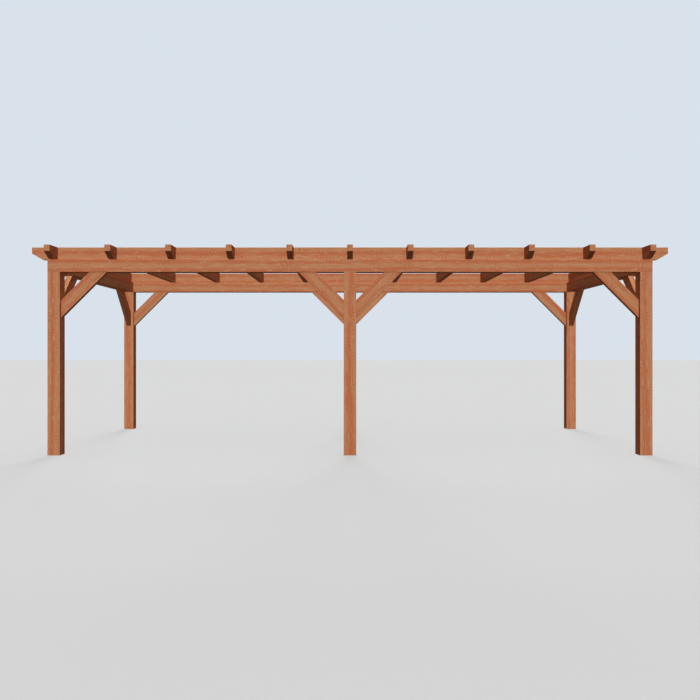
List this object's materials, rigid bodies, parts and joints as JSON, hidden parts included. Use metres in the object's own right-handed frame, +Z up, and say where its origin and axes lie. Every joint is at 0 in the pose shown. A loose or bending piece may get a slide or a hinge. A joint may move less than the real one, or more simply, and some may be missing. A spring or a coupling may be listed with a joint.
{
  "type": "open-rafter patio cover",
  "caption": "Free-standing timber patio cover: square posts with knee braces carry headers and an open grid of lapped beams and rafters with sloped tails.",
  "frame": {"origin": "on the paving, under the middle of the frame: the centre of the bottom of its bounding box", "axes": "+X along the front, to the right as seen from the front; +Y from the front row of posts to the back row; +Z up"},
  "size_m": [7.17, 3.28, 2.34],
  "materials": {
    "post_timber": "planed timber with a semi-transparent reddish-brown stain, matt",
    "header_timber": "planed timber with a semi-transparent reddish-brown stain, matt",
    "brace_timber": "planed timber with a semi-transparent reddish-brown stain, matt",
    "beam_timber": "planed timber with a semi-transparent reddish-brown stain, matt",
    "rafter_timber": "planed timber with a semi-transparent reddish-brown stain, matt"
  },
  "bodies": {
    "root": {"post_front_left": "post_timber", "post_front_middle": "post_timber", "post_front_right": "post_timber", "post_back_left": "post_timber", "post_back_middle": "post_timber", "post_back_right": "post_timber", "header_front": "header_timber", "header_back": "header_timber", "header_left": "header_timber", "header_right": "header_timber", "brace_front_left": "brace_timber", "brace_front_middle_left": "brace_timber", "brace_front_middle_right": "brace_timber", "brace_front_right": "brace_timber", "brace_back_left": "brace_timber", "brace_back_middle_left": "brace_timber", "brace_back_middle_right": "brace_timber", "brace_back_right": "brace_timber", "brace_left_front": "brace_timber", "brace_left_back": "brace_timber", "brace_right_front": "brace_timber", "brace_right_back": "brace_timber", "beam_front": "beam_timber", "beam_back": "beam_timber", "rafter_01": "rafter_timber", "rafter_02": "rafter_timber", "rafter_03": "rafter_timber", "rafter_04": "rafter_timber", "rafter_05": "rafter_timber", "rafter_06": "rafter_timber", "rafter_07": "rafter_timber", "rafter_08": "rafter_timber", "rafter_09": "rafter_timber", "rafter_10": "rafter_timber", "rafter_11": "rafter_timber"}
  },
  "joints": []
}
